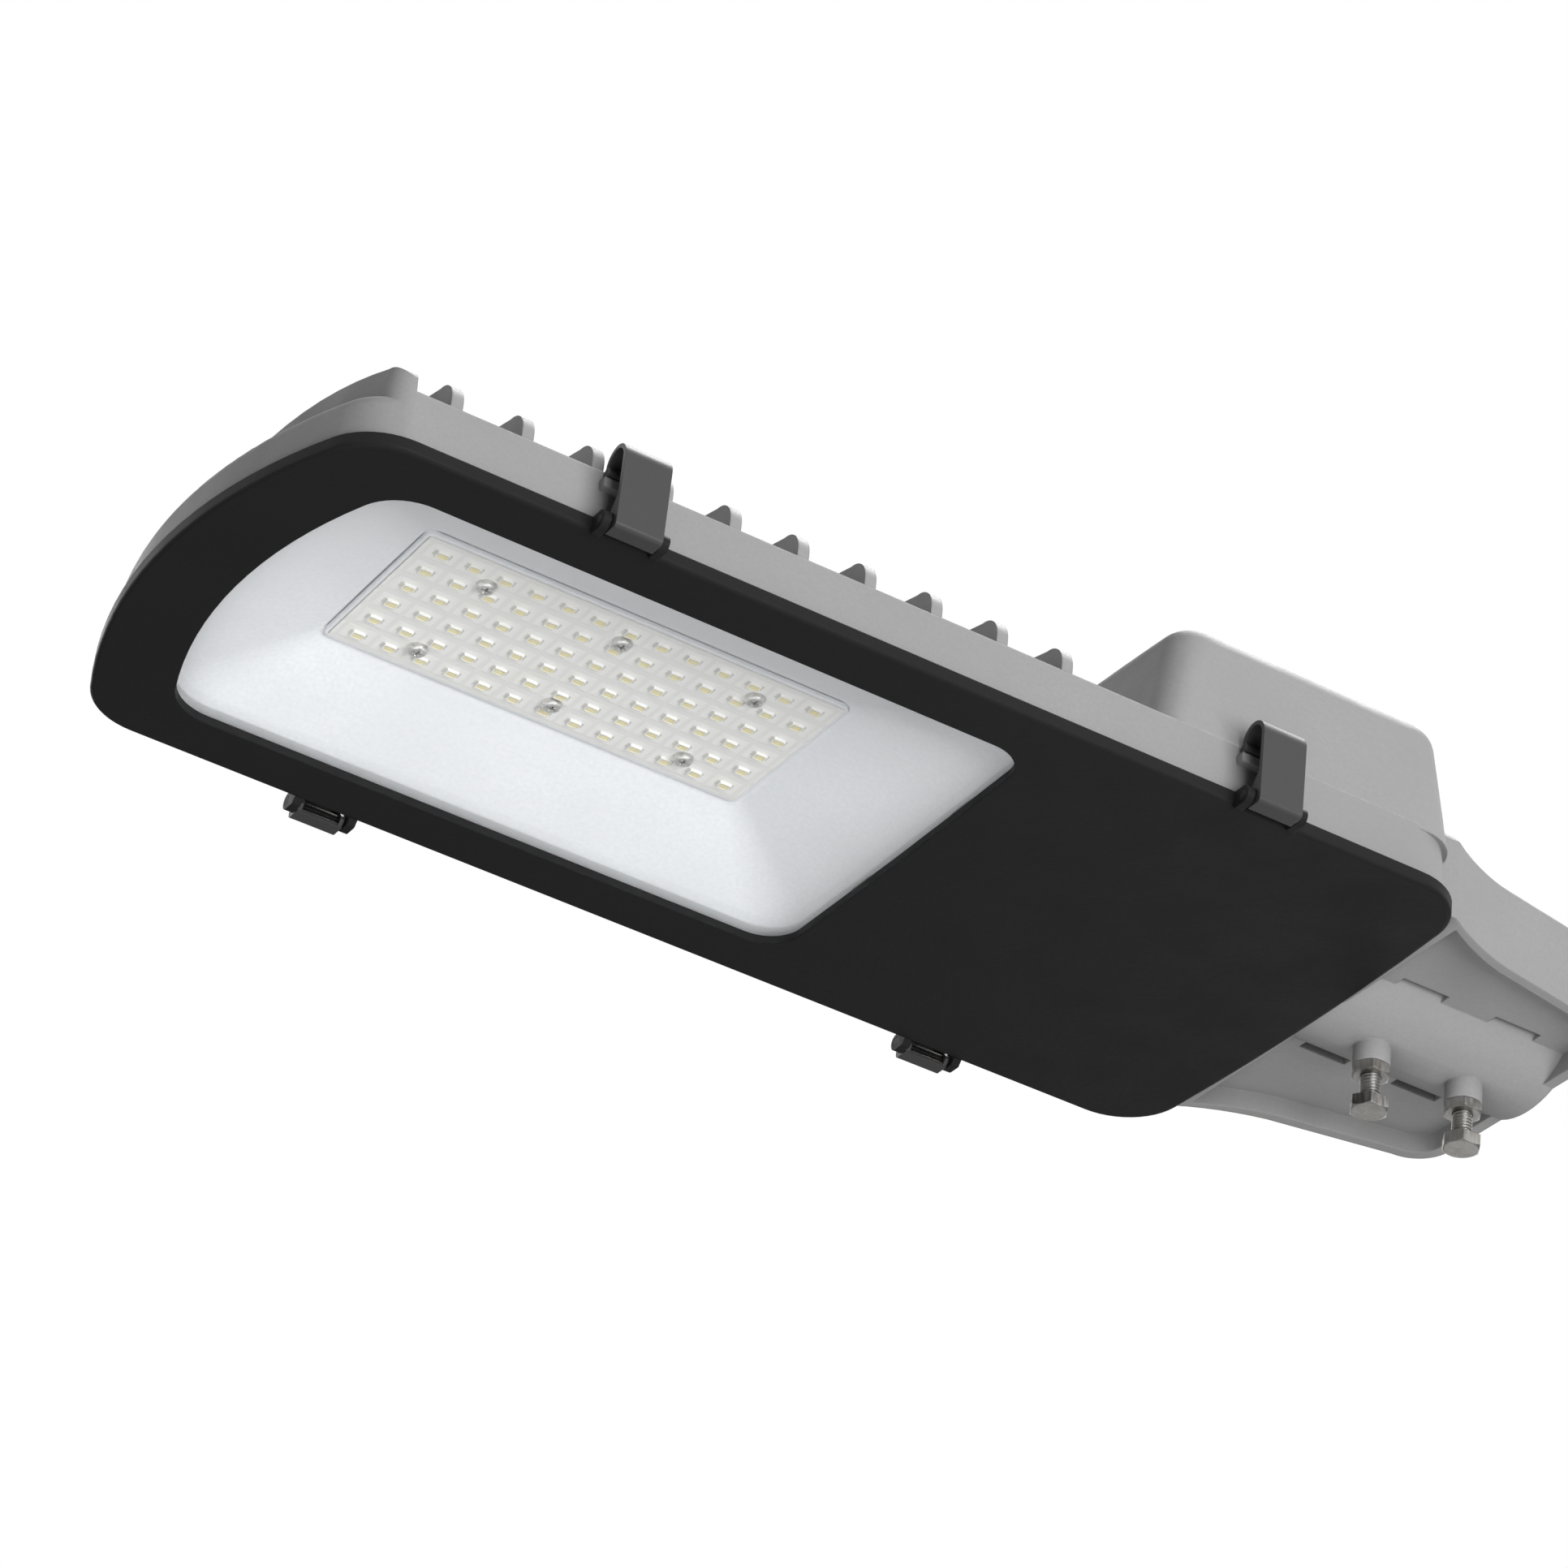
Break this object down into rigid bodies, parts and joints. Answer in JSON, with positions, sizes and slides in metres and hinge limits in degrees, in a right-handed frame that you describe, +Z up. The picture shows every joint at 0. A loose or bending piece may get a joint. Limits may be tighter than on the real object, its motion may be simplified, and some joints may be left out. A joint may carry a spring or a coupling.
{
  "type": "led street light head",
  "caption": "Flat LED street light head with a finned grey cast housing, a black latched frame round a white light window, and a pole socket at its rear.",
  "frame": {"origin": "centre of the pole socket's mouth, on the pole's axis", "axes": "+X along the pole's axis, the way the pole leaves, so the nose points along -X; +Z up; the light shines along -Z; +Y to the side"},
  "size_m": [0.43, 0.1766, 0.0787],
  "materials": {
    "screw_steel": "zinc-plated steel",
    "bolt_steel": "stainless steel, slightly stained",
    "frame_black": "black powder coat, satin",
    "driver_cap": "off-white plastic",
    "driver_case": "bright folded aluminium",
    "gland_plastic": "black plastic",
    "seal_rubber": "black rubber",
    "clear_glass": "clear toughened glass",
    "steel_sheet": "zinc-plated spring sheet",
    "silicone": "pale silicone bead",
    "cast_grey": "light grey powder coat on die-cast aluminium, satin, slightly orange-peeled",
    "latch_steel": "dark grey coated spring steel",
    "board_white": "white solder mask on an aluminium board",
    "led_yellow": "yellow phosphor in a white package",
    "tray_white": "white coated sheet, matt",
    "terminal_plastic": "natural plastic",
    "terminal_brass": "brass"
  },
  "bodies": {
    "head": {"housing": "cast_grey", "cover_frame": "frame_black", "glass": "clear_glass", "glass_seal": "silicone", "glass_clips": "steel_sheet", "glass_clip_screws": "screw_steel", "housing_seal": "seal_rubber", "reflector_tray": "tray_white", "led_board": "board_white", "led_chips": "led_yellow", "board_screws": "screw_steel", "driver_case": "driver_case", "driver_cap_near": "driver_cap", "driver_cap_far": "driver_cap", "driver_screws": "screw_steel", "terminal_block": "terminal_plastic", "terminal_screws": "terminal_brass", "gland_body": "gland_plastic", "gland_lock_nut": "gland_plastic", "gland_nut": "gland_plastic", "gland_seal": "seal_rubber", "clamp_bolts": "bolt_steel", "clamp_nuts": "bolt_steel", "latch_pins": "bolt_steel"},
    "latch_front_near": {"latch_front_near": "latch_steel"},
    "latch_rear_near": {"latch_rear_near": "latch_steel"},
    "latch_front_far": {"latch_front_far": "latch_steel"},
    "latch_rear_far": {"latch_rear_far": "latch_steel"}
  },
  "joints": [
    {"name": "latch_front_near_hinge", "type": "hinge", "parent": "head", "child": "latch_front_near", "pos_m": [-0.3405, -0.0842, -0.0295], "axis": [1, 0, 0], "range_deg": [0, 110]},
    {"name": "latch_rear_near_hinge", "type": "hinge", "parent": "head", "child": "latch_rear_near", "pos_m": [-0.1472, -0.0842, -0.0295], "axis": [1, 0, 0], "range_deg": [0, 110]},
    {"name": "latch_front_far_hinge", "type": "hinge", "parent": "head", "child": "latch_front_far", "pos_m": [-0.3405, 0.0842, -0.0295], "axis": [-1, 0, 0], "range_deg": [0, 110]},
    {"name": "latch_rear_far_hinge", "type": "hinge", "parent": "head", "child": "latch_rear_far", "pos_m": [-0.1472, 0.0842, -0.0295], "axis": [-1, 0, 0], "range_deg": [0, 110]}
  ]
}
